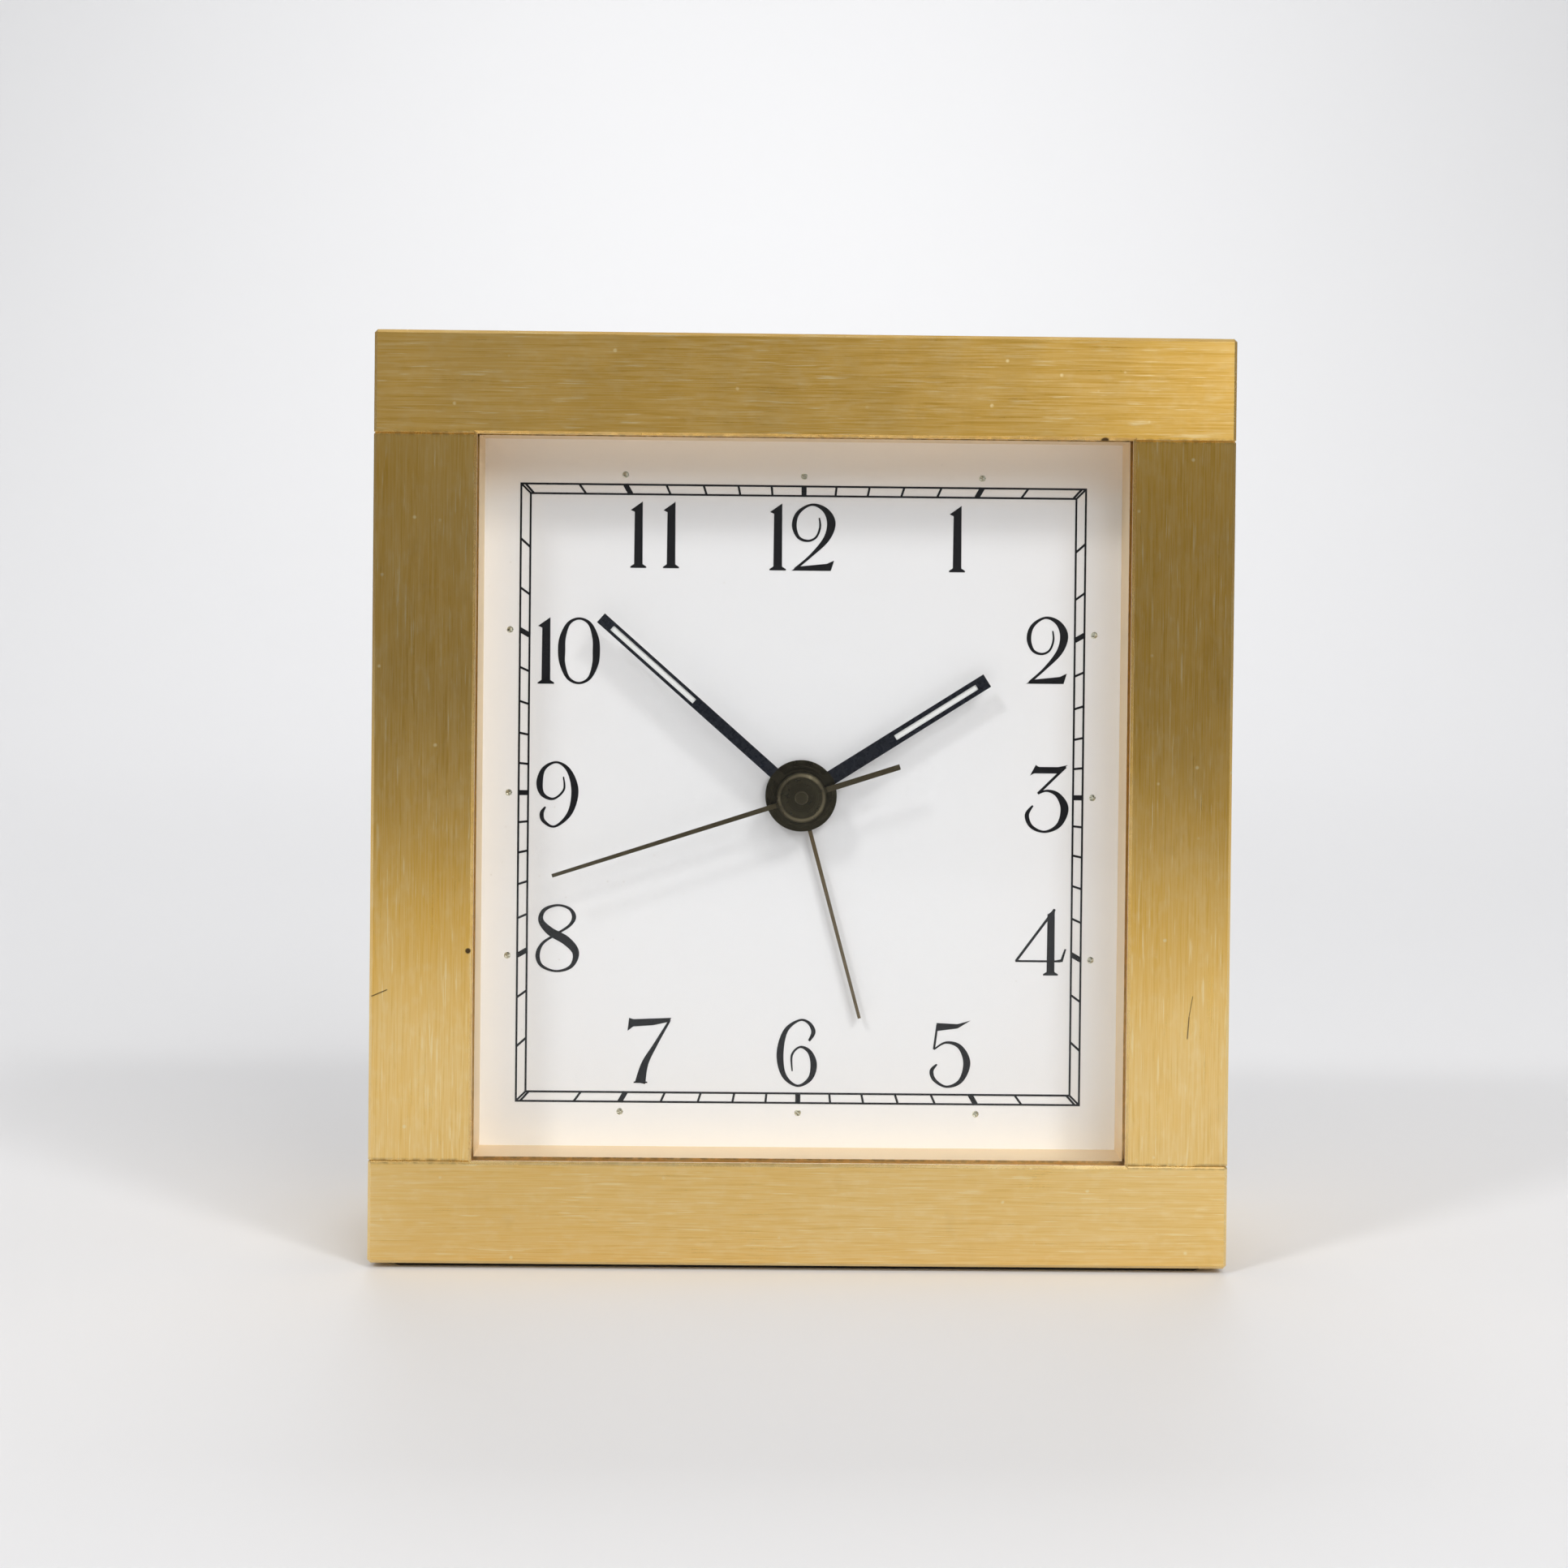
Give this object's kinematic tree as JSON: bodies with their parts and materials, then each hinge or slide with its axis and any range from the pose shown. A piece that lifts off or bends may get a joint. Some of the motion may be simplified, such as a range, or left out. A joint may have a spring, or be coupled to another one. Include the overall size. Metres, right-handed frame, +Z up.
{
  "type": "pendulette clock",
  "caption": "Desk alarm clock with a frame of square brass bars, a recessed white dial behind glass, baton hour and minute hands, a sweep seconds hand and an alarm hand.",
  "frame": {"origin": "point on the ground under the middle of the case, on the lower face of the base pad", "axes": "+X to the right as the dial is read, +Y from the dial towards the back plate, +Z up"},
  "size_m": [0.0762, 0.0274, 0.083],
  "materials": {
    "brass_bar": "solid brass, brushed along each bar",
    "base_pad": "thin black pad",
    "glass": "clear flat mineral glass",
    "dial": "matt white lacquer with printed track and numerals",
    "black_hand": "black lacquered sheet brass",
    "lume": "pale luminous paint",
    "bronze_hand": "dark olive bronze plating",
    "alarm_hand": "bronze plating",
    "housing": "moulded black plastic",
    "bridge": "moulded natural plastic",
    "wheel": "moulded acetal wheel",
    "brass_wheel": "turned brass",
    "steel": "bright steel",
    "magnet": "sintered magnet",
    "stator": "soft magnetic sheet",
    "bobbin": "moulded black plastic",
    "copper": "enamelled copper wire",
    "board": "green solder mask",
    "chip": "black resin",
    "sounder": "thin brass disc",
    "battery": "plain sleeved steel cell",
    "contact": "nickel-plated spring sheet",
    "back_plate": "textured black plastic",
    "knob": "fluted black plastic",
    "switch": "ivory plastic"
  },
  "bodies": {
    "case": {"top_bar": "brass_bar", "bottom_bar": "brass_bar", "left_bar": "brass_bar", "right_bar": "brass_bar", "base_pad": "base_pad", "glass": "glass", "dial": "dial", "housing": "housing", "train_bridge": "bridge", "stator": "stator", "coil_core": "stator", "coil_bobbin": "bobbin", "coil_winding": "copper", "circuit_board": "board", "quartz_crystal": "steel", "control_chip": "chip", "alarm_switch_contact": "contact", "sounder": "sounder", "battery": "battery", "battery_positive_contact": "contact", "battery_negative_contact": "contact", "back_plate": "back_plate", "back_plate_screw": "steel"},
    "seconds_work": {"seconds_hand": "bronze_hand", "seconds_hand_cap": "bronze_hand", "seconds_arbor": "wheel"},
    "intermediate_wheel_body": {"intermediate_wheel": "wheel"},
    "rotor": {"rotor_arbor": "wheel", "rotor_magnet": "magnet"},
    "third_wheel_body": {"third_wheel": "wheel"},
    "centre_wheel_body": {"centre_wheel": "wheel"},
    "minute_work": {"cannon_pinion": "brass_wheel", "minute_hand": "black_hand", "minute_hand_lume": "lume"},
    "time_setting": {"minute_wheel": "wheel", "time_set_knob": "knob"},
    "hour_work": {"hour_wheel": "wheel", "hour_hand": "black_hand", "hour_hand_lume": "lume"},
    "alarm_setting": {"alarm_set_arbor": "wheel", "alarm_set_knob": "knob"},
    "alarm_work": {"alarm_wheel": "wheel", "alarm_hand": "alarm_hand"},
    "alarm_switch_body": {"alarm_switch": "switch"},
    "battery_cover_body": {"battery_cover": "back_plate"}
  },
  "joints": [
    {"name": "rotor_spin", "type": "hinge", "parent": "case", "child": "rotor", "pos_m": [0.0133, 0, 0.05072], "axis": [0, 1, 0], "continuous": true},
    {"name": "intermediate_spin", "type": "hinge", "parent": "case", "child": "intermediate_wheel_body", "pos_m": [0.00653, 0, 0.04826], "axis": [0, 1, 0], "continuous": true},
    {"name": "seconds_spin", "type": "hinge", "parent": "case", "child": "seconds_work", "pos_m": [0, 0, 0.04172], "axis": [0, 1, 0], "continuous": true},
    {"name": "third_spin", "type": "hinge", "parent": "case", "child": "third_wheel_body", "pos_m": [-0.00636, 0, 0.04809], "axis": [0, 1, 0], "continuous": true},
    {"name": "centre_spin", "type": "hinge", "parent": "case", "child": "centre_wheel_body", "pos_m": [0, 0, 0.04172], "axis": [0, 1, 0], "continuous": true},
    {"name": "minute_spin", "type": "hinge", "parent": "case", "child": "minute_work", "pos_m": [0, 0, 0.04172], "axis": [0, 1, 0], "continuous": true},
    {"name": "time_set_spin", "type": "hinge", "parent": "case", "child": "time_setting", "pos_m": [-0.00889, 0, 0.03866], "axis": [0, 1, 0], "continuous": true},
    {"name": "hour_spin", "type": "hinge", "parent": "case", "child": "hour_work", "pos_m": [0, 0, 0.04172], "axis": [0, 1, 0], "continuous": true},
    {"name": "alarm_set_spin", "type": "hinge", "parent": "case", "child": "alarm_setting", "pos_m": [0.00878, 0, 0.03836], "axis": [0, 1, 0], "continuous": true},
    {"name": "alarm_spin", "type": "hinge", "parent": "case", "child": "alarm_work", "pos_m": [0, 0, 0.04172], "axis": [0, 1, 0], "continuous": true},
    {"name": "alarm_switch_slide", "type": "slide", "parent": "case", "child": "alarm_switch_body", "axis": [1, 0, 0], "range_m": [0, 0.003]},
    {"name": "battery_cover_swing", "type": "hinge", "parent": "case", "child": "battery_cover_body", "pos_m": [0, 0.01075, 0.011], "axis": [-1, 0, 0], "range_deg": [0, 70]}
  ],
  "couplings": [
    {"joint": "intermediate_spin", "follows": "rotor_spin", "ratio": -0.2},
    {"joint": "seconds_spin", "follows": "rotor_spin", "ratio": 0.033333},
    {"joint": "third_spin", "follows": "rotor_spin", "ratio": -0.0041667},
    {"joint": "centre_spin", "follows": "rotor_spin", "ratio": 0.00055556},
    {"joint": "time_set_spin", "follows": "minute_spin", "ratio": -0.33333},
    {"joint": "hour_spin", "follows": "minute_spin", "ratio": 0.083333},
    {"joint": "alarm_spin", "follows": "alarm_set_spin", "ratio": -1}
  ]
}
